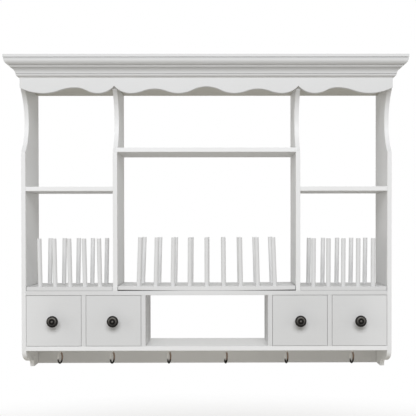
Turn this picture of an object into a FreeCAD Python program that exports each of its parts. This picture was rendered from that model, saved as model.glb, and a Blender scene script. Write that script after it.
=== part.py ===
"""Kitchen wall cabinet with plate racks, drawers, a moulded cornice and cup hooks.

Millimetres. The wall is the plane y = 0, the front looks along -Y, +Z is up and +X is to the right.
Heights in the sheet are measured from the soles of the feet, and drops from the board or edge above.
Every sub-part is then lowered by the height of the wall screws, which puts the origin midway between them.
"""
import FreeCAD, Part
import math
import os
import re
import Sketcher

# Driving sizes, in millimetres and degrees
SIZES = {
    # carcass
    "body_width": 1004, "panel_depth": 160, "panel_height": 848, "board": 12,
    "foot_height": 58, "drawer_bay": 138.5, "drawer_opening": 150, "centre_bay": 484,
    "side_shelf_height": 491, "centre_shelf_height": 596.5, "top_board_drop": 73,
    "housing_depth": 4, "housing_stop": 10,
    # wall fixing
    "screw_rise": 33, "screw_spacing": 800, "screw_hole": 6,
    "rail_thickness": 18, "rail_drop": 4, "rail_gap": 0.5,
    # shaped edges of the panels
    "scoop_drop": 11, "scoop_height": 167, "scoop_radius": 105.5,
    "toe_height": 62, "toe_depth": 75, "toe_drop": 41, "toe_radius": 30,
    # valance, with the drops of its lower edge below the top board
    "valance_thickness": 12, "valance_margin": 3, "low_drop": 21.5, "cusp_drop": 2, "end_drop": 6.5,
    "centre_crest_drop": 3.5, "inner_crest_drop": 9.5, "outer_crest_drop": 6,
    "centre_low_offset": 75, "cusp_low_offset": 44, "end_low_offset": 63, "outer_crest_offset": 149,
    # cornice, from the top down
    "cornice_rise": 3, "cornice_reach": 36, "fillet_band": 7.3, "band_overhang": 1.4,
    "quirk_height": 1.3, "quirk_depth": 2.5, "ovolo_height": 17.4, "ovolo_width": 9.4, "ovolo_radius": 17,
    "ledge_width": 2.6, "bead_height": 5.6, "bead_width": 2.8, "bead_radius": 8, "step_width": 1,
    "cove_height": 13.6, "cove_width": 9.8, "cove_radius": 22, "lip_height": 1.4, "lower_quirk": 0.9,
    "astragal_step": 0.9, "astragal_height": 5.6, "astragal_width": 3.4, "astragal_radius": 6.4,
    "taper_height": 1.6, "taper_width": 4.6,
    # plate racks
    "rack_gap": 1.5, "side_base": 11, "centre_base": 12, "dowel": 12, "dowel_seat": 7, "dowel_fit": 0.05,
    "side_dowel_height": 131, "centre_dowel_height": 132.5,
    "front_dowel_inset": 12, "back_dowel_inset": 134, "side_dowel_pitch": 40.6, "centre_dowel_pitch": 46.4,
    "left_front_lean": -1.2, "left_back_lean": 1, "right_front_lean": 0.3, "right_back_lean": 0.8,
    "underside_bow": 2.6, "top_bow": 1.2, "fan_radius": 5200,
    # drawers
    "front_gap": 0.8, "run_clearance": 0.3, "box_inset": 0.5, "drawer_side": 9, "side_height": 104,
    "rear_clearance": 3, "back_inset": 6, "drawer_groove": 3, "drawer_bottom": 3, "bottom_rise": 8,
    "bottom_clearance": 0.1, "front_easing": 0.8,
    # knobs
    "knob_diameter": 31, "knob_base": 18, "knob_neck": 12, "knob_flange": 2.5, "knob_neck_length": 4,
    "knob_rim": 1.5, "knob_crown": 4.2, "knob_ring_outer": 24, "knob_ring_inner": 14.5, "knob_ring_radius": 3,
    "knob_recess": 12, "knob_recess_depth": 2,
    "knob_button": 7, "knob_button_rise": 2, "knob_button_dome": 1.5,
    "knob_screw": 4, "screw_clearance": 0.25, "thread_clearance": 0.05, "thread_length": 12,
    "thread_spare": 1, "screw_head": 8, "screw_head_height": 2.5,
    "cross_length": 4.2, "cross_width": 1.1, "cross_depth": 1.4,
    # cup hooks
    "hook_wire": 4.8, "hook_bend": 15, "hook_throat_drop": 32, "hook_tip": 5.2, "hook_neck_bend": 6,
    "hook_tip_rise": 11, "hook_shank": 9, "hook_collar": 10, "hook_collar_height": 1.8, "hook_depth": 76,
    "pilot_clearance": 0.05,
    "hook_place_a": -414.5, "hook_place_b": -267.5, "hook_place_c": -107.5,
    "hook_place_d": 52.5, "hook_place_e": 223.5, "hook_place_f": 408,
    "hook_turn_a": 79, "hook_turn_b": 77, "hook_turn_c": 79,
    "hook_turn_d": 77, "hook_turn_e": 71, "hook_turn_f": 63,
}
SIDE_DOWELS = 5
CENTRE_DOWELS = 9
HOOK_MARKS = "abcdef"

doc = FreeCAD.newDocument("WallCabinet")
sheet = doc.addObject("Spreadsheet::Sheet", "Sizes")
for row, (alias, number) in enumerate(SIZES.items(), start=1):
    sheet.set(f"A{row}", alias)
    sheet.set(f"B{row}", str(number))
    sheet.setAlias(f"B{row}", alias)
doc.recompute()

# Places worked out from the driving sizes
FRONT = "(-panel_depth)"
STOP = "(housing_stop - panel_depth)"
WALL = "(0)"
HALF = "(body_width / 2)"
INNER = "(body_width / 2 - board)"
DIVIDER_IN = "(centre_bay / 2)"
DIVIDER_OUT = "(centre_bay / 2 + board)"
DIVIDER_MID = "(centre_bay / 2 + board / 2)"
FLOOR = "(foot_height + board)"
MID_UNDER = "(foot_height + board + drawer_bay)"
MID_TOP = "(foot_height + 2 * board + drawer_bay)"
SIDE_BASE_TOP = "(foot_height + 2 * board + drawer_bay + side_base)"
TOP_UNDER = "(panel_height - top_board_drop)"
RAIL_FOOT = "(panel_height - top_board_drop + board)"
RAIL_TOP = "(panel_height - rail_drop)"
SCREW_HEIGHT = "(panel_height - top_board_drop + board + screw_rise)"
CORNICE_TOP = "(panel_height + cornice_rise)"
HOOK_THROAT = "(foot_height - hook_throat_drop)"
PARTITION_OUT = "(body_width / 2 - board - drawer_opening)"
PARTITION_IN = "(body_width / 2 - 2 * board - 2 * drawer_opening)"
VALANCE_FACE = "(panel_depth + valance_thickness)"
DRAWER_MIDDLE = "(foot_height + board + drawer_bay / 2)"
DRAWER_CENTRES = [
    "(-body_width / 2 + board + drawer_opening / 2)",
    "(-body_width / 2 + 2 * board + drawer_opening * 3 / 2)",
    "(body_width / 2 - 2 * board - drawer_opening * 3 / 2)",
    "(body_width / 2 - board - drawer_opening / 2)",
]

subparts = []


def bound(text):
    """Expression text with each size name pointed at its cell in the sheet."""
    return re.sub(r"[a-z_]{3,}", lambda word: f"Sizes.{word[0]}" if word[0] in SIZES else word[0], str(text))


def number(text):
    """Present value of an expression."""
    return float(sheet.evalExpression(bound(text)))


def bind(item, **expressions):
    """Tie properties of a document object to expressions on the sheet."""
    for name, text in expressions.items():
        item.setExpression(name.replace("__", "."), bound(text))


def place(item, x="0", y="0", z="0"):
    """Tie a placement to expressions, with z given as a height above the soles of the feet."""
    bind(item, Placement__Base__x=x, Placement__Base__y=y, Placement__Base__z=f"{z} - {SCREW_HEIGHT}")


def subpart(item, label):
    """Name a finished piece and keep it for export."""
    item.Label = label
    subparts.append(item)
    return item


# Building blocks
def box(name, x, y, z):
    """Box between low and high expressions on each axis."""
    item = doc.addObject("Part::Box", name)
    bind(item, Length=f"{x[1]} - {x[0]}", Width=f"{y[1]} - {y[0]}", Height=f"{z[1]} - {z[0]}")
    place(item, x[0], y[0], z[0])
    return item


def drilling(name, radius, start, end, x, z):
    """Cylinder along Y from one depth to another, for a hole at the given x and height."""
    item = doc.addObject("Part::Cylinder", name)
    item.Placement = FreeCAD.Placement(FreeCAD.Vector(), FreeCAD.Rotation(FreeCAD.Vector(1, 0, 0), -90))
    bind(item, Radius=radius, Height=f"{end} - {start}")
    place(item, x, start, z)
    return item


def fuse(name, items):
    item = doc.addObject("Part::MultiFuse", name)
    item.Shapes = items
    item.Refine = True
    return item


def cut(name, base, tools):
    item = doc.addObject("Part::Cut", name)
    item.Base = base
    item.Tool = tools[0] if len(tools) == 1 else fuse(f"{name}_tools", tools)
    return item


def group(name, items):
    item = doc.addObject("Part::Compound", name)
    item.Links = items
    return item


def new_sketch(body, name, role):
    sketch = body.newObject("Sketcher::SketchObject", name)
    plane = [feature for feature in body.Origin.OriginFeatures if feature.Role == role][0]
    sketch.AttachmentSupport = (plane, [""])
    sketch.MapMode = "FlatFace"
    return sketch


def fix(sketch, kind, expression, *where):
    """Add a dimension to a sketch and tie it to an expression."""
    index = sketch.addConstraint(Sketcher.Constraint(kind, *where, number(expression)))
    sketch.setExpression(f"Constraints[{index}]", bound(expression))


def fix_point(sketch, geometry, end, x, y):
    fix(sketch, "DistanceX", x, -1, 1, geometry, end)
    fix(sketch, "DistanceY", y, -1, 1, geometry, end)


def arc_between(start, end, radius, turn):
    """Arc of at most a half circle, bending left or right on its way from start to end."""
    chord = end - start
    rise = math.sqrt(max(radius ** 2 - chord.Length ** 2 / 4, 0))
    side = FreeCAD.Vector(-chord.y, chord.x, 0) / chord.Length
    centre = (start + end) / 2 + side * (rise if turn == "left" else -rise)
    first, last = (start, end) if turn == "left" else (end, start)
    low = math.atan2(first.y - centre.y, first.x - centre.x)
    high = math.atan2(last.y - centre.y, last.x - centre.x)
    circle = Part.Circle(centre, FreeCAD.Vector(0, 0, 1), radius)
    return Part.ArcOfCircle(circle, low, high if high > low else high + 2 * math.pi)


def outline(body, name, role, corners):
    """Closed sketch through corners (x, y) or (x, y, radius, turn), where the arc follows its corner."""
    sketch = new_sketch(body, name, role)
    points = [FreeCAD.Vector(number(corner[0]), number(corner[1]), 0) for corner in corners]
    ends = []
    for index, corner in enumerate(corners):
        start = points[index]
        end = points[(index + 1) % len(points)]
        if len(corner) == 2:
            sketch.addGeometry(Part.LineSegment(start, end))
            ends.append((1, 2))
        else:
            sketch.addGeometry(arc_between(start, end, number(corner[2]), corner[3]))
            ends.append((1, 2) if corner[3] == "left" else (2, 1))
    for index, corner in enumerate(corners):
        following = (index + 1) % len(corners)
        sketch.addConstraint(
            Sketcher.Constraint("Coincident", index, ends[index][1], following, ends[following][0]))
        fix_point(sketch, index, ends[index][0], corner[0], corner[1])
        if len(corner) == 4:
            fix(sketch, "Radius", corner[2], index)
    return sketch


def pad(body, sketch, length, name="pad"):
    feature = body.newObject("PartDesign::Pad", f"{body.Name}_{name}")
    feature.Profile = sketch
    bind(feature, Length=length)
    return feature


def padded_body(name, role, corners, length):
    """Body of one outline, padded along the plane's normal: YZ to +X, XZ to -Y, XY to +Z."""
    body = doc.addObject("PartDesign::Body", name)
    pad(body, outline(body, f"{name}_outline", role, corners), length)
    return body


def mirrored(turn):
    return "right" if turn == "left" else "left"


# Carcass
def housing(name, x, z):
    """Stopped groove that takes the end of a board."""
    return box(name, x, (STOP, WALL), z)


def beyond(limits):
    """Limits stretched by the depth of a housing at both ends."""
    return f"({limits[0]} - housing_depth)", f"({limits[1]} + housing_depth)"


def housed_board(name, x, z, along):
    """Plain board whose ends run into housings, apart from a short strip at the front edge."""
    strip = box(f"{name}_front_strip", x, (FRONT, STOP), z)
    run_x = beyond(x) if along == "x" else x
    run_z = beyond(z) if along == "z" else z
    run = box(f"{name}_housed_run", run_x, (STOP, WALL), run_z)
    return fuse(f"{name}_blank", [strip, run])


def at_height(height):
    return f"({height})", f"({height} + board)"


def panel_front():
    """Front edge from the top down to the end of the scoop, which is an arc cut into the edge."""
    return [
        (FRONT, f"({TOP_UNDER} - scoop_drop)", "scoop_radius", "right"),
        (FRONT, f"({TOP_UNDER} - scoop_drop - scoop_height)"),
    ]


def side_panel_corners():
    """Side panel outline: straight back, scooped front, and an ogee foot of three arcs."""
    sweep = "((toe_depth^2 + toe_drop^2 - 2 * toe_depth * toe_radius) / (2 * (toe_drop - toe_radius)))"
    share = f"(toe_radius / ({sweep} - toe_radius))"
    join_y = f"(toe_radius + (toe_radius - toe_depth) * {share} - panel_depth)"
    join_z = f"(toe_height + (toe_drop - {sweep}) * {share})"
    heel = "(toe_height - toe_drop)"
    return [
        (f"toe_depth + {heel} - panel_depth", "0"),
        (WALL, "0"),
        (WALL, "panel_height"),
        (FRONT, "panel_height"),
        *panel_front(),
        (FRONT, "toe_height", "toe_radius", "left"),
        (join_y, join_z, sweep, "left"),
        ("toe_depth - panel_depth", heel, heel, "right"),
    ]


def divider_corners():
    return [
        (WALL, MID_TOP),
        (WALL, TOP_UNDER),
        (FRONT, TOP_UNDER),
        *panel_front(),
        (FRONT, MID_TOP),
    ]


BOARD_HEIGHTS = [TOP_UNDER, MID_UNDER, "foot_height"]

for side, sign in (("left", -1), ("right", 1)):
    outer_x = f"(-{HALF})" if sign < 0 else INNER
    body = padded_body(f"{side}_panel_blank", "YZ_Plane", side_panel_corners(), "board")
    place(body, outer_x)
    groove_x = (INNER, f"({INNER} + housing_depth)")
    if sign < 0:
        groove_x = (f"(-{INNER} - housing_depth)", f"(-{INNER})")
    grooves = [
        housing(f"{side}_panel_housing_{index}", groove_x, at_height(height))
        for index, height in enumerate(BOARD_HEIGHTS + ["side_shelf_height"])
    ]
    subpart(cut(f"{side}_panel", body, grooves), f"{side}_side_panel")

    wall_x = (f"(-{DIVIDER_OUT})", f"(-{DIVIDER_IN})") if sign < 0 else (DIVIDER_IN, DIVIDER_OUT)
    body = padded_body(f"{side}_divider_blank", "YZ_Plane", divider_corners(), "board")
    place(body, wall_x[0])
    tongues = [
        box(f"{side}_divider_foot", wall_x, (STOP, WALL), (f"({MID_TOP} - housing_depth)", MID_TOP)),
        box(f"{side}_divider_head", wall_x, (STOP, WALL), (TOP_UNDER, f"({TOP_UNDER} + housing_depth)")),
    ]
    blank = fuse(f"{side}_divider_tongued", [body] + tongues)
    low_face = (wall_x[0], f"({wall_x[0]} + housing_depth)")
    high_face = (f"({wall_x[1]} - housing_depth)", wall_x[1])
    shelf_face, centre_face = (low_face, high_face) if sign < 0 else (high_face, low_face)
    grooves = [
        housing(f"{side}_divider_side_housing", shelf_face, at_height("side_shelf_height")),
        housing(f"{side}_divider_centre_housing", centre_face, at_height("centre_shelf_height")),
    ]
    subpart(cut(f"{side}_divider_cut", blank, grooves), f"{side}_divider")

    bay_x = (f"(-{INNER})", f"(-{DIVIDER_OUT})") if sign < 0 else (DIVIDER_OUT, INNER)
    shelf = housed_board(f"{side}_shelf", bay_x, at_height("side_shelf_height"), "x")
    subpart(shelf, f"{side}_shelf")

centre_x = (f"(-{DIVIDER_IN})", DIVIDER_IN)
full_x = (f"(-{INNER})", INNER)
subpart(housed_board("centre_shelf", centre_x, at_height("centre_shelf_height"), "x"), "centre_shelf")

divider_places = {"left": (f"(-{DIVIDER_OUT})", f"(-{DIVIDER_IN})"), "right": (DIVIDER_IN, DIVIDER_OUT)}
partition_places = {
    "partition_1": (f"(-{PARTITION_OUT})", f"(board - {PARTITION_OUT})"),
    "partition_2": (f"(-{PARTITION_IN})", f"(board - {PARTITION_IN})"),
    "partition_3": (f"({PARTITION_IN} - board)", PARTITION_IN),
    "partition_4": (f"({PARTITION_OUT} - board)", PARTITION_OUT),
}

blank = housed_board("top_board", full_x, at_height(TOP_UNDER), "x")
grooves = [
    housing(f"top_board_{side}_housing", limits, (TOP_UNDER, f"({TOP_UNDER} + housing_depth)"))
    for side, limits in divider_places.items()
]
subpart(cut("top_board_cut", blank, grooves), "top_board")

blank = housed_board("mid_board", full_x, at_height(MID_UNDER), "x")
grooves = [
    housing(f"mid_board_{side}_housing", limits, (f"({MID_TOP} - housing_depth)", MID_TOP))
    for side, limits in divider_places.items()
]
grooves += [
    housing(f"mid_board_{name}_housing", limits, (MID_UNDER, f"({MID_UNDER} + housing_depth)"))
    for name, limits in partition_places.items()
]
subpart(cut("mid_board_cut", blank, grooves), "mid_board")

blank = housed_board("bottom_board", full_x, at_height("foot_height"), "x")
grooves = [
    housing(f"bottom_board_{name}_housing", limits, (f"({FLOOR} - housing_depth)", FLOOR))
    for name, limits in partition_places.items()
]
pilots = []
for mark in HOOK_MARKS:
    pilot = doc.addObject("Part::Cylinder", f"hook_pilot_{mark}")
    bind(pilot, Radius="hook_wire / 2 + pilot_clearance", Height="hook_shank + pilot_clearance")
    place(pilot, f"hook_place_{mark}", "-hook_depth", "foot_height")
    pilots.append(pilot)
subpart(cut("bottom_board_cut", blank, grooves + pilots), "bottom_board")

for name, limits in partition_places.items():
    subpart(housed_board(name, limits, (FLOOR, MID_UNDER), "z"), name)

subpart(box("hook_rail", full_x, ("(-board)", WALL), ("(0)", "(foot_height)")), "hook_rail")

rail = box("hanging_rail_blank", (f"(rail_gap - {INNER})", f"({INNER} - rail_gap)"),
           ("(-rail_thickness)", WALL), (RAIL_FOOT, RAIL_TOP))
holes = [
    drilling(f"wall_screw_hole_{index}", "screw_hole / 2", "(-rail_thickness)", WALL, x, SCREW_HEIGHT)
    for index, x in enumerate(("-screw_spacing / 2", "screw_spacing / 2"))
]
subpart(cut("hanging_rail_cut", rail, holes), "hanging_rail")


# Valance: each half wave from a low to a crest is two equal arcs that meet halfway,
# and a low that runs up to a cusp or to an end is one arc
def wave(low, crest):
    """Radius of the two equal arcs between a low and a crest, both level there."""
    run = f"({crest[0]} - {low[0]})"
    rise = f"({crest[1]} - {low[1]})"
    return f"(({run}^2 + {rise}^2) / (4 * {rise}))"


def midpoint(one, other):
    return f"(({one[0]} + {other[0]}) / 2)", f"(({one[1]} + {other[1]}) / 2)"


def upstroke(low, peak):
    """Radius of the single arc that leaves a low level and ends at a cusp or an end."""
    run = f"({peak[0]} - {low[0]})"
    rise = f"({peak[1]} - {low[1]})"
    return f"(({run}^2 + {rise}^2) / (2 * {rise}))"


LOW = f"({TOP_UNDER} - low_drop)"
CENTRE_CREST = ("0", f"({TOP_UNDER} - centre_crest_drop)")
CENTRE_LOW = ("centre_low_offset", LOW)
CUSP = (DIVIDER_MID, f"({TOP_UNDER} - cusp_drop)")
INNER_LOW = (f"({DIVIDER_MID} - cusp_low_offset)", LOW)
INNER_CREST = (f"(({CENTRE_LOW[0]} + {INNER_LOW[0]}) / 2)", f"({TOP_UNDER} - inner_crest_drop)")
OUTER_LOW = (f"({DIVIDER_MID} + cusp_low_offset)", LOW)
OUTER_CREST = (f"({HALF} - outer_crest_offset)", f"({TOP_UNDER} - outer_crest_drop)")
END_LOW = (f"({HALF} - end_low_offset)", LOW)
END = (HALF, f"({TOP_UNDER} - end_drop)")


def crest_to_low(crest, low):
    return [(*crest, wave(low, crest), "right"), (*midpoint(crest, low), wave(low, crest), "left")]


def low_to_crest(low, crest):
    return [(*low, wave(low, crest), "left"), (*midpoint(low, crest), wave(low, crest), "right")]


def right_half():
    """Lower edge from the middle to the right end, seen from the front."""
    return [
        *crest_to_low(CENTRE_CREST, CENTRE_LOW),
        *low_to_crest(CENTRE_LOW, INNER_CREST),
        *crest_to_low(INNER_CREST, INNER_LOW),
        (*INNER_LOW, upstroke(INNER_LOW, CUSP), "left"),
        (*CUSP, upstroke(OUTER_LOW, CUSP), "left"),
        *low_to_crest(OUTER_LOW, OUTER_CREST),
        *crest_to_low(OUTER_CREST, END_LOW),
        (*END_LOW, upstroke(END_LOW, END), "left"),
    ]


def left_half():
    """The right half mirrored and walked backwards, from the left end to the middle."""
    half = right_half()
    stops = [corner[:2] for corner in half] + [END]
    flipped = []
    for index in range(len(half) - 1, -1, -1):
        x, z = stops[index + 1]
        flipped.append((f"(-({x}))", z, half[index][2], half[index][3]))
    return flipped


VALANCE_TOP = "(panel_height - valance_margin)"
valance_corners = [*left_half(), *right_half(), END, (HALF, VALANCE_TOP), (f"(-{HALF})", VALANCE_TOP)]
valance = padded_body("valance_body", "XZ_Plane", valance_corners, "valance_thickness")
place(valance, y=FRONT)
subpart(valance, "valance")


# Cornice: one moulding profile, run along the front and back along both sides, and mitred
def cornice_profile(face, sign):
    """Corners of the profile, outwards from a face, with sign -1 where outwards is towards negative."""
    ovolo_out = "(cornice_reach - band_overhang)"
    ovolo_in = f"({ovolo_out} - ovolo_width)"
    bead_out = f"({ovolo_in} - ledge_width)"
    bead_in = f"({bead_out} - bead_width)"
    cove_out = f"({bead_in} - step_width)"
    cove_in = f"({cove_out} - cove_width)"
    band_foot = f"({CORNICE_TOP} - fillet_band)"
    ovolo_top = f"({band_foot} - quirk_height)"
    ovolo_foot = f"({ovolo_top} - ovolo_height)"
    bead_foot = f"({ovolo_foot} - bead_height)"
    cove_foot = f"({bead_foot} - cove_height)"
    lip_foot = f"({cove_foot} - lip_height)"
    astragal_top = f"({lip_foot} - lower_quirk)"
    astragal_foot = f"({astragal_top} - astragal_height)"
    foot = f"({astragal_foot} - taper_height)"
    points = [
        ("0", foot),
        (f"({cove_in} - taper_width - astragal_width)", foot),
        (f"({cove_in} - astragal_width)", astragal_foot, "astragal_radius", "left"),
        (f"({cove_in} - astragal_step)", astragal_top),
        (f"({cove_in} - quirk_depth)", astragal_top),
        (f"({cove_in} - quirk_depth)", lip_foot),
        (cove_in, lip_foot),
        (cove_in, cove_foot, "cove_radius", "right"),
        (cove_out, bead_foot),
        (bead_in, bead_foot, "bead_radius", "left"),
        (bead_out, ovolo_foot),
        (ovolo_in, ovolo_foot, "ovolo_radius", "left"),
        (ovolo_out, ovolo_top),
        (f"({ovolo_out} - quirk_depth)", ovolo_top),
        (f"({ovolo_out} - quirk_depth)", band_foot),
        ("cornice_reach", band_foot),
        ("cornice_reach", CORNICE_TOP),
        ("0", CORNICE_TOP),
    ]
    corners = []
    for point in points:
        x = f"({sign} * ({face} + {point[0]}))"
        turn = point[2:] if sign > 0 or len(point) == 2 else (point[2], mirrored(point[3]))
        corners.append((x, point[1], *turn))
    return corners


def mitred(name, run, plan):
    """The run of moulding kept inside its mitred plan."""
    item = doc.addObject("Part::Common", name)
    item.Base = run
    item.Tool = plan
    return item


OUT_X = f"({HALF} + cornice_reach)"
OUT_Y = f"(-{VALANCE_FACE} - cornice_reach)"
run = padded_body("cornice_front_run", "YZ_Plane", cornice_profile(VALANCE_FACE, -1), f"2 * {OUT_X}")
place(run, f"(-{OUT_X})")
plan = padded_body("cornice_front_plan", "XY_Plane", [
    (f"(-{HALF})", f"(-{VALANCE_FACE})"), (f"(-{OUT_X})", OUT_Y),
    (OUT_X, OUT_Y), (HALF, f"(-{VALANCE_FACE})"),
], CORNICE_TOP)
place(plan)
subpart(mitred("cornice_front_mitred", run, plan), "cornice_front")

for side, sign in (("left", -1), ("right", 1)):
    run = padded_body(f"cornice_{side}_run", "XZ_Plane", cornice_profile(HALF, sign), f"-{OUT_Y}")
    place(run)
    plan = padded_body(f"cornice_{side}_plan", "XY_Plane", [
        (f"({sign} * {HALF})", WALL), (f"({sign} * {HALF})", f"(-{VALANCE_FACE})"),
        (f"({sign} * {OUT_X})", OUT_Y), (f"({sign} * {OUT_X})", WALL),
    ], CORNICE_TOP)
    place(plan)
    subpart(mitred(f"cornice_{side}_mitred", run, plan), f"cornice_{side}")

# Plate racks: a base on the middle board, with two rows of dowels set into it
DOWEL_ROWS = {"front": "(front_dowel_inset - panel_depth)", "back": "(back_dowel_inset - panel_depth)"}
BASE_HALF = "(centre_bay / 2 - rack_gap)"
UNDERSIDE_RADIUS = f"(({BASE_HALF}^2 + underside_bow^2) / (2 * underside_bow))"
TOP_RADIUS = f"(({BASE_HALF}^2 + top_bow^2) / (2 * top_bow))"
TOP_CENTRE = f"({MID_TOP} + centre_base + {TOP_RADIUS})"


def rod(name, radius, length, x, y, foot, lean):
    """Upright cylinder on a foot, leaning to the right by an angle."""
    item = doc.addObject("Part::Cylinder", name)
    item.Placement = FreeCAD.Placement(FreeCAD.Vector(), FreeCAD.Rotation(FreeCAD.Vector(0, 1, 0), 1))
    bind(item, Radius=radius, Height=length, Placement__Rotation__Angle=lean)
    place(item, x, y, foot)
    return item


def dowel_offsets(count, pitch):
    return [f"({index - (count - 1) / 2} * {pitch})" for index in range(count)]


def rack(side, base, dowel_height, stands):
    """Base with a socket for each dowel, and its dowels. A stand is x, y, the foot's height and the lean."""
    sockets = []
    dowels = []
    for index, stand in enumerate(stands):
        sockets.append(rod(f"{side}_socket_{index}", "dowel / 2 + dowel_fit", "2 * dowel_seat", *stand))
        dowels.append(rod(f"{side}_dowel_{index}", "dowel / 2", f"dowel_seat + {dowel_height}", *stand))
    subpart(cut(f"{side}_base_bored", base, sockets), f"{side}_rack_base")
    subpart(group(f"{side}_dowels", dowels), f"{side}_rack_dowels")


for side, sign in (("left", -1), ("right", 1)):
    middle = f"({sign} * ({DIVIDER_OUT} + {INNER}) / 2)"
    reach = f"(({INNER} - {DIVIDER_OUT}) / 2 - rack_gap)"
    base_x = (f"({middle} - {reach})", f"({middle} + {reach})")
    base = box(f"{side}_base", base_x, (FRONT, WALL), (MID_TOP, SIDE_BASE_TOP))
    rack(side, base, "side_dowel_height", [
        (f"({middle} + {offset})", row_y, f"({SIDE_BASE_TOP} - dowel_seat)", f"{side}_{row_name}_lean")
        for row_name, row_y in DOWEL_ROWS.items()
        for offset in dowel_offsets(SIDE_DOWELS, "side_dowel_pitch")
    ])

# The centre base is bowed: it rests at its middle and its ends stand clear, and its dowels fan inwards
end_top = f"({MID_TOP} + centre_base + top_bow)"
end_foot = f"({MID_TOP} + underside_bow)"
centre_base = padded_body("centre_base", "XZ_Plane", [
    (f"(-{BASE_HALF})", end_foot, UNDERSIDE_RADIUS, "left"),
    (BASE_HALF, end_foot),
    (BASE_HALF, end_top, TOP_RADIUS, "right"),
    (f"(-{BASE_HALF})", end_top),
], "panel_depth")
place(centre_base)
rack("centre", centre_base, "centre_dowel_height", [
    (offset, row_y, f"({TOP_CENTRE} - sqrt({TOP_RADIUS}^2 - {offset}^2) - dowel_seat)",
     f"-asin({offset} / fan_radius)")
    for row_y in DOWEL_ROWS.values()
    for offset in dowel_offsets(CENTRE_DOWELS, "centre_dowel_pitch")
])


# Drawers: an inset front, housed sides and back, and a thin bottom panel in grooves
BOX_HALF = "(drawer_opening / 2 - front_gap - box_inset)"
BOX_FOOT = f"({FLOOR} + run_clearance)"
BOX_TOP = f"({BOX_FOOT} + side_height)"
BOX_REAR = "(-rear_clearance)"
FRONT_BACK = "(board - panel_depth)"
HOUSED = "(board - panel_depth - drawer_groove)"
GROOVE_FOOT = f"({BOX_FOOT} + bottom_rise)"
GROOVE_Z = (GROOVE_FOOT, f"({GROOVE_FOOT} + drawer_bottom + 2 * bottom_clearance)")
BACK_Y = ("(-rear_clearance - back_inset - drawer_side)", "(-rear_clearance - back_inset)")


def eased(name, block):
    """Round the four front edges of a drawer front."""
    doc.recompute()
    front_y = block.Shape.BoundBox.YMin
    edges = [
        index for index, edge in enumerate(block.Shape.Edges, start=1)
        if max(abs(vertex.Y - front_y) for vertex in edge.Vertexes) < 1e-6
    ]
    item = doc.addObject("Part::Fillet", name)
    item.Base = block
    radius = sheet.get("front_easing")
    item.Edges = [(index, radius, radius) for index in edges]
    return item


def knob_corners():
    """Half section of a knob, from the screw bore round the trumpet and the ringed face to the axis."""
    cove = "((knob_base - knob_neck) / 2)"
    flare = "((knob_diameter - knob_neck) / 2)"
    neck_foot = f"(knob_flange + {cove})"
    neck_top = f"({neck_foot} + knob_neck_length)"
    rim_foot = f"({neck_top} + {flare})"
    rim_top = f"({rim_foot} + knob_rim)"
    face = f"({rim_top} + knob_crown)"
    floor = f"({face} - knob_recess_depth)"
    button = f"({floor} + knob_button_rise)"
    dome = "((knob_button^2 / 4 + knob_button_dome^2) / (2 * knob_button_dome))"
    points = [
        ("knob_screw / 2 + thread_clearance", "0"),
        ("knob_base / 2", "0"),
        ("knob_base / 2", "knob_flange", cove, "right"),
        ("knob_neck / 2", neck_foot),
        ("knob_neck / 2", neck_top, flare, "right"),
        ("knob_diameter / 2", rim_foot),
        ("knob_diameter / 2", rim_top, "knob_crown", "left"),
        ("knob_ring_outer / 2", face, "knob_ring_radius", "left"),
        ("knob_ring_inner / 2", face),
        ("knob_recess / 2", floor),
        ("knob_button / 2", floor),
        ("knob_button / 2", button, dome, "left"),
        ("0", f"({button} + knob_button_dome)"),
        ("0", "thread_length"),
        ("knob_screw / 2 + thread_clearance", "thread_length"),
    ]
    return turned_outwards(points)


def screw_corners():
    """Half section of a pan-head machine screw whose shank ends inside the knob."""
    return turned_outwards([
        ("0", "-board - screw_head_height"),
        ("screw_head / 2", "-board - screw_head_height"),
        ("screw_head / 2", "-board"),
        ("knob_screw / 2", "-board"),
        ("knob_screw / 2", "thread_length - thread_spare"),
        ("0", "thread_length - thread_spare"),
    ])


def cross_recess(name, x):
    """Two crossed slots in the head of a knob's screw."""
    depth = (f"({FRONT_BACK} + screw_head_height - cross_depth)", f"({FRONT_BACK} + screw_head_height)")
    spans = {"long": "cross_length / 2", "short": "cross_width / 2"}
    slots = []
    for wide, tall in (("long", "short"), ("short", "long")):
        slots.append(box(f"{name}_{wide}_slot", (f"({x} - {spans[wide]})", f"({x} + {spans[wide]})"), depth,
                         (f"({DRAWER_MIDDLE} - {spans[tall]})", f"({DRAWER_MIDDLE} + {spans[tall]})")))
    return slots


def turned_outwards(points):
    """Half section given as radius and distance out of the drawer's face, laid along -Y."""
    corners = []
    for point in points:
        turn = () if len(point) == 2 else (point[2], mirrored(point[3]))
        corners.append((point[0], f"(-panel_depth - ({point[1]}))", *turn))
    return corners


def turned(name, corners, x):
    """Body of revolution about an axis along Y, through the middle of a drawer front."""
    body = doc.addObject("PartDesign::Body", name)
    sketch = outline(body, f"{name}_section", "XY_Plane", corners)
    feature = body.newObject("PartDesign::Revolution", f"{name}_turned")
    feature.Profile = sketch
    feature.ReferenceAxis = (sketch, ["V_Axis"])
    feature.Angle = 360
    place(body, x, "0", DRAWER_MIDDLE)
    return body


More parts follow.
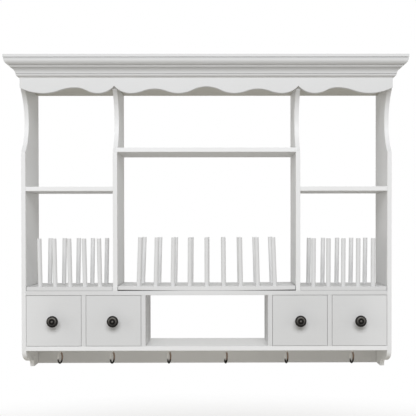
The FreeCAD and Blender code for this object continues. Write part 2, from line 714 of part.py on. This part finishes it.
for order, centre in enumerate(DRAWER_CENTRES, start=1):
    name = f"drawer_{order}"
    left = f"({centre} - {BOX_HALF})"
    right = f"({centre} + {BOX_HALF})"
    left_in = f"({left} + drawer_side)"
    right_in = f"({right} - drawer_side)"
    panel_x = (f"({left_in} - drawer_groove)", f"({right_in} + drawer_groove)")
    side_y = (HOUSED, BOX_REAR)

    front_half = "(drawer_opening / 2 - front_gap)"
    block = box(f"{name}_front_block", (f"({centre} - {front_half})", f"({centre} + {front_half})"),
                (FRONT, FRONT_BACK), (f"({FLOOR} + front_gap)", f"({MID_UNDER} - front_gap)"))
    housed_z = (f"({FLOOR} + front_gap)", BOX_TOP)
    front_cuts = [
        box(f"{name}_left_housing", (left, left_in), (HOUSED, FRONT_BACK), housed_z),
        box(f"{name}_right_housing", (right_in, right), (HOUSED, FRONT_BACK), housed_z),
        box(f"{name}_front_groove", (left_in, right_in), (HOUSED, FRONT_BACK), GROOVE_Z),
        drilling(f"{name}_knob_hole", "knob_screw / 2 + screw_clearance",
                 FRONT, FRONT_BACK, centre, DRAWER_MIDDLE),
    ]
    subpart(cut(f"{name}_front_cut", eased(f"{name}_front_eased", block), front_cuts), f"{name}_front")

    for side, x, inner_x in (("left", (left, left_in), (panel_x[0], left_in)),
                             ("right", (right_in, right), (right_in, panel_x[1]))):
        long_run = box(f"{name}_{side}_run", x, (FRONT_BACK, BOX_REAR), (BOX_FOOT, BOX_TOP))
        tenon = box(f"{name}_{side}_tenon", x, (HOUSED, FRONT_BACK), housed_z)
        blank = fuse(f"{name}_{side}_blank", [long_run, tenon])
        side_cuts = [
            box(f"{name}_{side}_groove", inner_x, side_y, GROOVE_Z),
            box(f"{name}_{side}_back_housing", inner_x, BACK_Y, (GROOVE_Z[1], BOX_TOP)),
        ]
        subpart(cut(f"{name}_{side}_cut", blank, side_cuts), f"{name}_{side}_side")

    subpart(box(f"{name}_back_board", panel_x, BACK_Y, (GROOVE_Z[1], BOX_TOP)), f"{name}_back")
    bottom_x = (f"({panel_x[0]} + bottom_clearance)", f"({panel_x[1]} - bottom_clearance)")
    bottom_z = (f"({GROOVE_Z[0]} + bottom_clearance)", f"({GROOVE_Z[1]} - bottom_clearance)")
    subpart(box(f"{name}_bottom_panel", bottom_x, (f"({HOUSED} + bottom_clearance)", BACK_Y[1]), bottom_z),
            f"{name}_bottom")
    subpart(turned(f"{name}_knob_body", knob_corners(), centre), f"{name}_knob")
    screw = turned(f"{name}_screw_body", screw_corners(), centre)
    subpart(cut(f"{name}_screw_cut", screw, cross_recess(name, centre)), f"{name}_knob_screw")


# Cup hooks: a screw shank, a collar and a neck that bends into a round hook
def hook_path(body, name):
    """Line down the axis, a small bend to the back, and a round bend that ends at the tip."""
    bend = number("hook_bend")
    neck = number("hook_neck_bend")
    throat = number(HOOK_THROAT)
    neck_z = throat + math.sqrt(bend ** 2 + 2 * bend * neck)
    meeting = math.atan2(neck_z - throat, neck)
    tip = math.pi - math.asin(number("hook_tip_rise") / bend)
    normal = FreeCAD.Vector(0, 0, 1)
    sketch = new_sketch(body, f"{name}_path", "XZ_Plane")
    sketch.addGeometry(Part.LineSegment(
        FreeCAD.Vector(0, number("foot_height + hook_shank"), 0), FreeCAD.Vector(0, neck_z, 0)))
    sketch.addGeometry(Part.ArcOfCircle(
        Part.Circle(FreeCAD.Vector(neck, neck_z, 0), normal, neck), math.pi, math.pi + meeting))
    sketch.addGeometry(Part.ArcOfCircle(
        Part.Circle(FreeCAD.Vector(0, throat, 0), normal, bend), tip - 2 * math.pi, meeting))
    fix_point(sketch, 0, 1, "0", "foot_height + hook_shank")
    fix(sketch, "DistanceX", "0", -1, 1, 0, 2)
    sketch.addConstraint(Sketcher.Constraint("Tangent", 0, 2, 1, 1))
    fix(sketch, "Radius", "hook_neck_bend", 1)
    sketch.addConstraint(Sketcher.Constraint("Tangent", 1, 2, 2, 2))
    fix_point(sketch, 2, 3, "0", HOOK_THROAT)
    fix(sketch, "Radius", "hook_bend", 2)
    fix(sketch, "DistanceY", f"({HOOK_THROAT} + hook_tip_rise)", -1, 1, 2, 1)
    return sketch


def disc(body, name, radius, height):
    """Round section at a height above the soles of the feet."""
    sketch = new_sketch(body, name, "XY_Plane")
    sketch.addGeometry(Part.Circle(FreeCAD.Vector(), FreeCAD.Vector(0, 0, 1), number(radius)))
    fix_point(sketch, 0, 3, "0", "0")
    fix(sketch, "Radius", radius, 0)
    bind(sketch, AttachmentOffset__Base__z=height)
    return sketch


def cup_hook(mark):
    name = f"cup_hook_{mark}"
    body = doc.addObject("PartDesign::Body", name)
    wire = body.newObject("PartDesign::AdditivePipe", f"{name}_wire")
    wire.Profile = disc(body, f"{name}_section", "hook_wire / 2", "foot_height + hook_shank")
    wire.Spine = (hook_path(body, name), ["Edge1", "Edge2", "Edge3"])
    pad(body, disc(body, f"{name}_rim", "hook_collar / 2", "foot_height - hook_collar_height"),
        "hook_collar_height", "collar")
    tip = body.newObject("PartDesign::AdditiveSphere", f"{name}_tip")
    bind(tip, Radius="hook_tip / 2", Placement__Base__x="-sqrt(hook_bend^2 - hook_tip_rise^2)",
         Placement__Base__z=f"{HOOK_THROAT} + hook_tip_rise")
    body.Placement = FreeCAD.Placement(FreeCAD.Vector(), FreeCAD.Rotation(FreeCAD.Vector(0, 0, 1), 1))
    bind(body, Placement__Rotation__Angle=f"hook_turn_{mark}")
    place(body, f"hook_place_{mark}", "-hook_depth")
    return body


subpart(group("hooks", [cup_hook(mark) for mark in HOOK_MARKS]), "cup_hooks")

# Test every object and shape, then write one file per sub-part
doc.recompute()
for item in doc.Objects:
    if "Invalid" in item.State or "Error" in item.State:
        raise RuntimeError(f"{item.Label} failed: {item.State}")
for item in subparts:
    if item.Shape.isNull() or not item.Shape.isValid():
        raise RuntimeError(f"{item.Label} has no valid shape")

os.makedirs("parts", exist_ok=True)
for item in subparts:
    item.Shape.exportStep(f"parts/{item.Label}.step")
print(f"{len(subparts)} sub-parts written")
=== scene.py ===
"""Looks of the kitchen wall cabinet: eased edges, filler, paint and metal finishes, light and camera.

Metres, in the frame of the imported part: the wall is the plane y = 0, the front looks along -Y, +Z is up.
The levels and tints of the paints were chosen by comparing renders with the photograph. They bring the tones
under this light to those of the photograph, so they hold part of its light and are not all known to be in the
paint, which is likely one white.
"""

import math

import bpy
import numpy as np
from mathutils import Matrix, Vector


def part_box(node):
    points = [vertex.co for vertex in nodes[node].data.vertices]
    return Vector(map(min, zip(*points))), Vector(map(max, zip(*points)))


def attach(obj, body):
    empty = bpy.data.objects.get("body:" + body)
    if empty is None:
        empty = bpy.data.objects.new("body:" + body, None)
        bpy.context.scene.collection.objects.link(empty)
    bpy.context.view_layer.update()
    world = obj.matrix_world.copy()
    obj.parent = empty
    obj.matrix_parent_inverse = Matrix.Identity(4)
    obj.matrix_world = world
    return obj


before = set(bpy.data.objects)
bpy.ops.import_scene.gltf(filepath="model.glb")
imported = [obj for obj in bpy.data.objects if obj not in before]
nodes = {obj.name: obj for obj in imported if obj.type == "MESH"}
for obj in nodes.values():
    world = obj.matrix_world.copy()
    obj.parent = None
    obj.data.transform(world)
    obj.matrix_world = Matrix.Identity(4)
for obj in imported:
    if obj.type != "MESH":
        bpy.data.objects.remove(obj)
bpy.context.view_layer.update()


# Shader arithmetic
class Shade:
    """A socket in a material's node tree. Arithmetic with shades and numbers adds Math nodes."""

    def __init__(self, tree, socket):
        self.tree = tree
        self.socket = socket

    def node(self, kind, settings=None, inputs=None, out=0):
        """New node of one kind: its settings are set first, then its sockets get their values or links."""
        made = self.tree.nodes.new(kind)
        for name, value in (settings or {}).items():
            setattr(made, name, value)
        for name, value in (inputs or {}).items():
            if isinstance(value, Shade):
                self.tree.links.new(value.socket, made.inputs[name])
            else:
                made.inputs[name].default_value = value
        return Shade(self.tree, made.outputs[out])

    def maths(self, operation, first, second):
        """Math node on two shades or numbers."""
        return self.node("ShaderNodeMath", {"operation": operation}, {0: first, 1: second})

    def __add__(self, other):
        return self.maths("ADD", self, other)

    __radd__ = __add__

    def __sub__(self, other):
        return self.maths("SUBTRACT", self, other)

    def __rsub__(self, other):
        return self.maths("SUBTRACT", other, self)

    def __mul__(self, other):
        return self.maths("MULTIPLY", self, other)

    __rmul__ = __mul__

    def __pow__(self, power):
        return self.maths("POWER", self, power)

    def __abs__(self):
        return self.maths("ABSOLUTE", self, 0)


# Places of a Mix node's colour sockets, which share their names with its sockets for numbers and vectors
MIX_FACTOR = 0
MIX_FIRST = 6
MIX_SECOND = 7
MIX_RESULT = 2


def axes(place):
    """The three coordinates of a place, each a shade of its own."""
    parts = place.node("ShaderNodeSeparateXYZ", inputs={0: place}).socket.node
    return [Shade(place.tree, socket) for socket in parts.outputs]


def noise(place, scale, detail=2.0):
    """Smooth random field from 0 to 1 over a place, with about scale lumps to the metre."""
    return place.node("ShaderNodeTexNoise", inputs={"Vector": place, "Scale": scale, "Detail": detail})


def stretched(place, stretch):
    """The place scaled along each axis, so that a pattern on it runs long where the scale is small."""
    return place.node("ShaderNodeVectorMath", {"operation": "MULTIPLY"}, {0: place, 1: stretch})


def ramp(value, low, high, first=0.0, last=1.0):
    """Smooth step from first to last as a value goes from low to high."""
    return value.node("ShaderNodeMapRange", {"interpolation_type": "SMOOTHSTEP"}, {
        "Value": value, "From Min": low, "From Max": high, "To Min": first, "To Max": last})


def blend(mask, first, last):
    """Colour that goes from first to last as a mask goes from 0 to 1."""
    sockets = {MIX_FACTOR: mask, MIX_FIRST: first, MIX_SECOND: last}
    return mask.node("ShaderNodeMix", {"data_type": "RGBA"}, sockets, out=MIX_RESULT)


def times(first, second):
    """Two colours multiplied."""
    settings = {"data_type": "RGBA", "blend_type": "MULTIPLY"}
    sockets = {MIX_FACTOR: 1.0, MIX_FIRST: first, MIX_SECOND: second}
    return first.node("ShaderNodeMix", settings, sockets, out=MIX_RESULT)


def line(value, centre, reach):
    """Mask of a soft line: 1 where a value is at the centre, down to 0 at a reach either side of it."""
    return ramp(abs(value - centre), 0, reach, first=1, last=0)


def bumps(height, distance, strength):
    """Normal of a surface with a height over it."""
    sockets = {"Height": height, "Distance": distance, "Strength": strength}
    return height.node("ShaderNodeBump", inputs=sockets)


def grey(level, warmth=0.0):
    """Opaque near-grey colour, with the blue lowered by warmth."""
    return (level, level * (1 - warmth / 4), level * (1 - warmth), 1.0)


def facing(place):
    """How far a face looks along each of the three axes, from -1 to 1."""
    return axes(place.node("ShaderNodeNewGeometry", out="Normal"))


def upwards(place):
    """Mask of the faces that look up."""
    return ramp(facing(place)[2], low=0.4, high=0.8)


def finish(name, constants, build):
    """Principled material with constant sockets, and the sockets that build(place) returns for the rest."""
    material = bpy.data.materials.new(name)
    material.use_nodes = True
    tree = material.node_tree
    shader = tree.nodes["Principled BSDF"]
    for socket, value in constants.items():
        shader.inputs[socket].default_value = value
    place = Shade(tree, tree.nodes.new("ShaderNodeTexCoord").outputs["Object"])
    for socket, value in build(place).items():
        tree.links.new(value.socket, shader.inputs[socket])
    return material


# Painted finishes, with brush lines that run long along one axis of the board
ALONG = {"x": (0.03, 1, 1), "z": (1, 1, 0.03)}


def brushed_paint(name, level, along, warmth=0.0, tint=None):
    """Satin paint on fibreboard: a slow drift in tone, brush lines along the board and a fine stipple.

    The colour that tint(place) gives, where a paint has a tint, is multiplied into it.
    """

    def build(place):
        drift = noise(place, scale=5, detail=3)
        strokes = noise(stretched(place, ALONG[along]), scale=330, detail=3)
        stipple = noise(place, scale=800)
        tone = ramp(drift * 0.7 + strokes * 0.3, low=0.3, high=0.7)
        colour = blend(tone, grey(level * 0.982, warmth + 0.012), grey(level, warmth + 0.004))
        return {
            "Base Color": times(colour, tint(place)) if tint else colour,
            "Roughness": 0.34 + drift * 0.1 + strokes * 0.1,
            "Normal": bumps(strokes + stipple * 0.5, distance=0.00016, strength=0.4),
        }

    return finish(name, {"Specular IOR Level": 0.4}, build)


def box_paint(name, level):
    """Thin sprayed paint inside a drawer, with the fibres of the board showing through."""

    def build(place):
        fibres = noise(stretched(place, (1, 0.25, 1)), scale=420, detail=4)
        patches = noise(place, scale=18, detail=3)
        cover = ramp(fibres + patches * 0.5, low=0.55, high=1.0)
        return {
            "Base Color": blend(cover, grey(level * 0.94, 0.06), grey(level, 0.02)),
            "Roughness": 0.55 + fibres * 0.2,
            "Normal": bumps(fibres, distance=0.0003, strength=0.4),
        }

    return finish(name, {"Specular IOR Level": 0.3}, build)


# Painted light and shade in the paints, by place
UP_DOWN_SHADE = 0.06
# Depth below the top of the cornice, reach and darkening of each line on its moulding: painted shade where the
# darkening is above 0, painted highlight where it is below 0
PAINTED_MOULDING_LINES = {
    "light edge of the fillet": (0.0070, 0.0012, -0.22),
    "dark line under the fillet": (0.0103, 0.0020, 0.30),
    "light shoulder of the roll": (0.0159, 0.0045, -0.10),
    "dark band under the bead": (0.0345, 0.0080, 0.10),
    "dark line in the lower quirk": (0.0470, 0.0018, 0.18),
    "light foot": (0.0547, 0.0014, -0.30),
}
# Brown for the seats of the rack bases: painted shade for the slits round and under them
SEAT_SHADE_BROWN = (0.12, 0.08, 0.054, 1)
CENTRE_BASE_BOW = 0.0026


def moulding_painted_shading(place):
    """Painted light and shade on the moulding: lighter where it looks up, darker where it looks down, light
    and dark lines along it.
    """
    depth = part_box("cornice_front")[1].z - axes(place)[2]
    rise = ramp(facing(place)[2], low=-0.9, high=0.9)
    tint = blend(rise, grey(1 - UP_DOWN_SHADE), grey(1 + UP_DOWN_SHADE))
    for centre, reach, darkening in PAINTED_MOULDING_LINES.values():
        tint = times(tint, blend(line(depth, centre, reach), grey(1), grey(1 - darkening)))
    return tint


def middle_painted_light(place):
    """Painted light: lighter towards the middle of the width."""
    return blend(line(axes(place)[0], centre=0, reach=0.33), grey(0.99), grey(1.08))


def seat_painted_shade(place):
    """The middle painted light, and brown behind the front edge of the top, where the rack bases sit.

    The brown is painted shade for the gaps round and under the bases, the only places it shows. As unpainted
    board it is a guess.
    """
    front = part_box("mid_board")[0].y
    seat = upwards(place) * ramp(axes(place)[1], low=front + 0.0015, high=front + 0.0035)
    return blend(seat, middle_painted_light(place), SEAT_SHADE_BROWN)


def base_painted_shade(bow):
    """For a rack base: the middle painted light, with a line of painted shade along its foot, lifted by bow at
    the ends.
    """
    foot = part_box("left_rack_base")[0].z
    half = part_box("centre_rack_base")[1].x

    def tint(place):
        x, _, height = axes(place)
        lift = height - foot - bow * (x * (1 / half)) ** 2
        return times(middle_painted_light(place), blend(line(lift, centre=0, reach=0.0022), grey(1), grey(0.62)))

    return tint


def foot_painted_light(place):
    """Painted light: lighter on the edges of the panels below the bottom board."""
    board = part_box("bottom_board")[0].z
    foot = ramp(axes(place)[2], low=board - 0.01, high=board + 0.005, first=1, last=0)
    edge = ramp(abs(facing(place)[0]), low=0.4, high=0.7, first=1, last=0)
    return blend(foot * edge, grey(1), grey(1.13))


def front_painted_light(place):
    """Painted light: lighter on the drawer fronts towards the outside of the cabinet."""
    return blend(ramp(abs(axes(place)[0]), low=0.36, high=0.49), grey(0.975), grey(1.05))


def valance_painted_light(place):
    """Painted light in a line along the top of the valance, under the cornice, where its shade falls."""
    return blend(line(axes(place)[2], centre=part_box("cornice_front")[0].z, reach=0.003), grey(1), grey(1.18))


def back_row_painted_light(place):
    """Painted light: lighter on the back row of dowels than on the front row."""
    return blend(ramp(axes(place)[1], low=-0.1, high=-0.06), grey(1), grey(1.09))


# Other finishes
def faced_hardboard(name):
    """Hardboard with a white lacquered face upwards, and the brown screen pattern of the press below."""

    def build(place):
        upward = upwards(place)
        fibres = noise(place, scale=900, detail=4)
        screen = place.node("ShaderNodeTexVoronoi", inputs={"Vector": place, "Scale": 700})
        brown = blend(fibres, (0.17, 0.095, 0.05, 1), (0.30, 0.18, 0.10, 1))
        white = blend(fibres, grey(0.70, 0.03), grey(0.76, 0.02))
        return {
            "Base Color": blend(upward, brown, white),
            "Roughness": 0.75 - upward * 0.3,
            "Normal": bumps(screen * (1 - upward) + fibres * 0.15, distance=0.0005, strength=0.5),
        }

    return finish(name, {"Specular IOR Level": 0.3}, build)


def dark_bronze(name):
    """Nearly black lacquered bronze, worn grey on the button and the ring round it, with painted light that
    makes the ring lighter on its top half and darker on its bottom half.

    The knobs of one half mirror those of the other, so a place is measured from the nearest knob's axis.
    """
    low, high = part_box("drawer_1_knob")
    outer = abs(low.x + high.x) / 2
    inner = abs(sum(corner.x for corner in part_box("drawer_2_knob"))) / 2
    middle = (low.z + high.z) / 2
    radius = (high.x - low.x) / 2

    def build(place):
        x, y, z = axes(place)
        aside = x.maths("MINIMUM", abs(abs(x) - outer), abs(abs(x) - inner))
        reach = (aside ** 2 + (z - middle) ** 2) ** 0.5 * (1 / radius)
        ring = ramp(abs(reach - 0.62), low=0.06, high=0.2, first=1, last=0)
        button = ramp(reach, low=0.1, high=0.24, first=1, last=0)
        on_face = ramp(y, low=low.y + 0.003, high=low.y + 0.008, first=1, last=0)
        grain = noise(place, scale=700, detail=3)
        # Painted light: the ring is lighter on its top half and darker on its bottom half
        painted_light_from_above = ramp(z - middle, low=-0.8 * radius, high=0.8 * radius, first=0.2, last=1.5)
        worn_and_painted_light = ramp((ring * painted_light_from_above + button) * on_face * (0.6 + grain * 0.8), low=0.1, high=1.1)
        return {
            "Base Color": blend(worn_and_painted_light, (0.0172, 0.0152, 0.0138, 1), (0.138, 0.131, 0.12, 1)),
            "Roughness": 0.45 - worn_and_painted_light * 0.1 + grain * 0.14,
            "Normal": bumps(grain, distance=0.0001, strength=0.3),
        }

    return finish(name, {"Metallic": 0.6}, build)


def nickel_wire(name):
    """Nickel-plated hooks with painted reflections: brown shanks, nearly black round the bend, and pale tips.

    The tips are hardly metallic: that stands in for their shine, which this soft light doesn't give.
    """
    low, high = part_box("cup_hooks")
    bend = low.z + 0.19 * (high.z - low.z)
    middle = (low.y + high.y) / 2

    def build(place):
        _, depth, height = axes(place)
        haze = noise(place, scale=260, detail=4)
        shank = ramp(depth + (haze - 0.5) * 0.004, low=middle - 0.003, high=middle + 0.005)
        lifted = height + (depth - middle) * 0.2 + (haze - 0.5) * 0.005
        above_bend = ramp(lifted, low=bend - 0.004, high=bend + 0.006)
        # Painted reflections: pale tips, brown shanks, nearly black round the bend
        painted_reflections = blend(shank, (0.98, 0.97, 0.95, 1), (0.36, 0.27, 0.22, 1))
        marks = noise(stretched(place, (1, 1, 0.2)), scale=2500, detail=1)
        return {
            "Base Color": blend(above_bend, (0.02, 0.018, 0.016, 1), painted_reflections),
            "Metallic": 1 - above_bend * (1 - shank) * 0.95,
            "Roughness": 0.32 + haze * 0.1,
            "Normal": bumps(marks, distance=0.00004, strength=0.3),
        }

    return finish(name, {}, build)


def zinc_plate(name):
    """Zinc-plated screws: pale steel with a faint cloudy haze."""

    def build(place):
        haze = noise(place, scale=600, detail=4)
        return {
            "Base Color": blend(haze, (0.48, 0.49, 0.5, 1), (0.7, 0.7, 0.7, 1)),
            "Roughness": 0.28 + haze * 0.2,
            "Normal": bumps(haze, distance=0.00005, strength=0.3),
        }

    return finish(name, {"Metallic": 1.0}, build)


def pale_ground(name, cover, fade_start, fade_end):
    """Matt pale floor: its cover is below 1 even in the middle, and thins out to nothing at the rim."""

    def build(place):
        flat = stretched(place, (1, 1, 0))
        reach = place.node("ShaderNodeVectorMath", {"operation": "LENGTH"}, {0: flat}, out="Value")
        clouds = noise(place, scale=3, detail=4)
        return {
            "Base Color": blend(clouds, (0.84, 0.80, 0.72, 1), (0.88, 0.84, 0.76, 1)),
            "Alpha": ramp(reach, fade_start, fade_end, first=cover, last=0),
        }

    return finish(name, {"Roughness": 0.9}, build)


# Which finish and which easing of the edges each piece gets, by words in its name
# The paints' levels differ by piece, which holds painted light and shade
BEAMS = brushed_paint("board_paint", 0.884, "x")
HOOK_RAIL = brushed_paint("rail_paint", 0.884, "x", tint=middle_painted_light)
UPRIGHTS = brushed_paint("panel_paint", 0.855, "z", tint=foot_painted_light)
MOULDING = brushed_paint("moulding_paint", 0.732, "x", tint=moulding_painted_shading)
# Darker and warmer than the other paints: painted warm shade
SHADED_TOP_BOARD = brushed_paint("top_board_paint", 0.62, "x", warmth=0.14)
VALANCE = brushed_paint("valance_paint", 0.725, "x", tint=valance_painted_light)
SIDE_BASES = brushed_paint("side_base_paint", 0.747, "x", tint=base_painted_shade(bow=0))
CENTRE_BASE = brushed_paint("centre_base_paint", 0.747, "x", tint=base_painted_shade(CENTRE_BASE_BOW))
MIDDLE_BOARD = brushed_paint("middle_board_paint", 0.747, "x", tint=seat_painted_shade)
PARTITIONS = brushed_paint("partition_paint", 0.742, "z")
DOWELS = brushed_paint("dowel_paint", 0.785, "z", tint=back_row_painted_light)
FRONTS = brushed_paint("drawer_front_paint", 0.745, "x", tint=front_painted_light)
BOXES = box_paint("drawer_box_paint", 0.74)
FILLER = brushed_paint("filler_paint", 0.747, "x")

FINISHES = (
    ("knob_screw", zinc_plate("zinc_plate")),
    ("knob", dark_bronze("dark_bronze")),
    ("cup_hooks", nickel_wire("nickel_plate")),
    ("_bottom", faced_hardboard("hardboard")),
    ("hook_rail", HOOK_RAIL),
    ("cornice", MOULDING),
    ("top_board", SHADED_TOP_BOARD),
    ("valance", VALANCE),
    ("mid_board", MIDDLE_BOARD),
    ("centre_rack_base", CENTRE_BASE),
    ("rack_base", SIDE_BASES),
    ("dowels", DOWELS),
    ("partition", PARTITIONS),
    ("panel", UPRIGHTS),
    ("divider", UPRIGHTS),
    ("_front", FRONTS),
    ("drawer", BOXES),
    ("", BEAMS),
)
EASING = (
    ("knob", 0),
    ("cup_hooks", 0),
    ("cornice", 0.0004),
    ("drawer", 0.0005),
    ("partition", 0.0006),
    ("dowels", 0.0009),
    ("rack_base", 0.0006),
    ("valance", 0.0007),
    ("", 0.001),
)


def chosen(name, choices):
    """The choice beside the first word that is found in a piece's name."""
    return next(choice for word, choice in choices if word in name)


def ease(piece, width):
    """Round the sharp edges of a piece: join its loose faces, clear the flat ones of cuts, then bevel."""
    weld = piece.modifiers.new("weld", "WELD")
    weld.merge_threshold = 1e-5
    flat = piece.modifiers.new("flat", "DECIMATE")
    flat.decimate_type = "DISSOLVE"
    flat.angle_limit = math.radians(0.5)
    rounding = piece.modifiers.new("arris", "BEVEL")
    rounding.width = width
    rounding.segments = 3
    rounding.limit_method = "ANGLE"
    rounding.angle_limit = math.radians(40)
    normals = piece.modifiers.new("normals", "WEIGHTED_NORMAL")
    normals.keep_sharp = True


for name, piece in nodes.items():
    piece.data.materials.clear()
    piece.data.materials.append(chosen(name, FINISHES))
    width = chosen(name, EASING)
    if width:
        ease(piece, width)

# Filler at the inner ends of the side rack bases, which look closed in the photograph
AROUND = 24
LEVELS = 9
FILLER_DEPTH = 0.006
FILLER_RECESS = 0.0006


def filler_strip(name, low, high):
    """Strip of filler between two corners: a superellipse round x and y, carried straight up to flat ends.

    On the superellipse, x and y are half the width times the signed square roots of the cosine and the sine.
    """
    angles = np.linspace(0, 2 * np.pi, AROUND, endpoint=False)
    wave = np.stack([np.cos(angles), np.sin(angles)], axis=1)
    ring = np.sign(wave) * np.sqrt(np.abs(wave))
    points = np.empty((LEVELS, AROUND, 3))
    points[..., :2] = (low[:2] + high[:2]) / 2 + ring * (high[:2] - low[:2]) / 2
    points[..., 2] = np.linspace(low[2], high[2], LEVELS)[:, None]
    index = np.arange(LEVELS * AROUND).reshape(LEVELS, AROUND)
    beside = np.roll(index, -1, axis=1)
    walls = np.stack([index[:-1], beside[:-1], beside[1:], index[1:]], axis=-1).reshape(-1, 4)
    ends = [index[0, ::-1].tolist(), index[-1].tolist()]
    mesh = bpy.data.meshes.new(name)
    mesh.from_pydata(points.reshape(-1, 3).tolist(), [], walls.tolist() + ends)
    mesh.materials.append(FILLER)
    strip = bpy.data.objects.new(name, mesh)
    bpy.context.scene.collection.objects.link(strip)
    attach(strip, "cabinet")


def fill_joint(name, base, left, right):
    """Filler across a joint from left to right, as high as the base and just behind its front."""
    low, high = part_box(base)
    front = low.y + FILLER_RECESS
    filler_strip(name, np.array((left, front, low.z)), np.array((right, front + FILLER_DEPTH, high.z)))


INNER_JOINTS = {
    "left": (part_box("left_rack_base")[1].x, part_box("left_divider")[0].x),
    "right": (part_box("right_divider")[1].x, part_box("right_rack_base")[0].x),
}
for side, (left, right) in INNER_JOINTS.items():
    fill_joint(f"{side}_rack_inner_filler", f"{side}_rack_base", left, right)

# Floor
FLOOR_HEIGHT = -1.6
FLOOR_REACH = 3.4
FLOOR_FADE = 1.6
FLOOR_COVER = 0.55
floor_mesh = bpy.data.meshes.new("floor")
corners = [(x * FLOOR_REACH, y * FLOOR_REACH, FLOOR_HEIGHT) for x, y in ((-1, -1), (1, -1), (1, 1), (-1, 1))]
floor_mesh.from_pydata(corners, [], [(0, 1, 2, 3)])
floor_mesh.materials.append(pale_ground("pale_floor", FLOOR_COVER, FLOOR_FADE, FLOOR_REACH))
floor = bpy.data.objects.new("floor", floor_mesh)
bpy.context.scene.collection.objects.link(floor)

# Light: place, width and height, watts and colour of each softbox
AIM = Vector((0, -0.08, -0.4))
COOL = (0.985, 1.0, 1.03)
WHITE = (1, 1, 1)
SOFTBOXES = {
    "front_key": ((0.0, -4.2, 2.0), (3.6, 2.0), 162, COOL),
    "left_fill": ((-2.6, -1.3, -0.2), (1.6, 2.0), 14.3, WHITE),
    "right_fill": ((2.6, -1.3, -0.2), (1.6, 2.0), 8.3, WHITE),
    "wall_bounce": ((0.0, 2.4, 0.2), (3.2, 2.2), 14.8, WHITE),
    "left_side": ((-3.0, -0.05, 0.1), (0.3, 1.8), 14, WHITE),
    "right_side": ((3.0, -0.05, 0.1), (0.3, 1.8), 14, WHITE),
}


def softbox(name, place, size, watts, colour):
    """Rectangular area light at a place, turned to the middle of the cabinet."""
    light = bpy.data.lights.new(name, "AREA")
    light.shape = "RECTANGLE"
    light.size, light.size_y = size
    light.energy = watts
    light.color = colour
    lamp = bpy.data.objects.new(name, light)
    lamp.location = place
    lamp.rotation_mode = "QUATERNION"
    lamp.rotation_quaternion = (AIM - Vector(place)).to_track_quat("-Z", "Y")
    bpy.context.scene.collection.objects.link(lamp)


for name, settings in SOFTBOXES.items():
    softbox(name, *settings)

# Surroundings: a weak warm light from all round, and plain white where the camera looks past the cabinet
world = bpy.data.worlds.new("studio")
world.use_nodes = True
room = world.node_tree
sky = room.nodes["Background"]
sky.inputs["Color"].default_value = (1.0, 0.99, 0.94, 1.0)
sky.inputs["Strength"].default_value = 0.2
backdrop = room.nodes.new("ShaderNodeBackground")
backdrop.inputs["Color"].default_value = (1.0, 1.0, 1.0, 1.0)
seen = room.nodes.new("ShaderNodeLightPath")
either = room.nodes.new("ShaderNodeMixShader")
room.links.new(seen.outputs["Is Camera Ray"], either.inputs[0])
room.links.new(sky.outputs[0], either.inputs[1])
room.links.new(backdrop.outputs[0], either.inputs[2])
room.links.new(either.outputs[0], room.nodes["World Output"].inputs["Surface"])
bpy.context.scene.world = world
bpy.context.scene.view_settings.view_transform = "Standard"

# Camera
camera = bpy.data.cameras.new("camera")
camera.sensor_width = 36
camera.lens = 68.3
camera.shift_x = -0.0325
camera.shift_y = 0.0734
eye = bpy.data.objects.new("camera", camera)
eye.location = (0.0306, -2.299, -0.434)
eye.rotation_euler = [math.radians(angle) for angle in (89.36, 0.08, -0.26)]
bpy.context.scene.collection.objects.link(eye)
bpy.context.scene.camera = eye
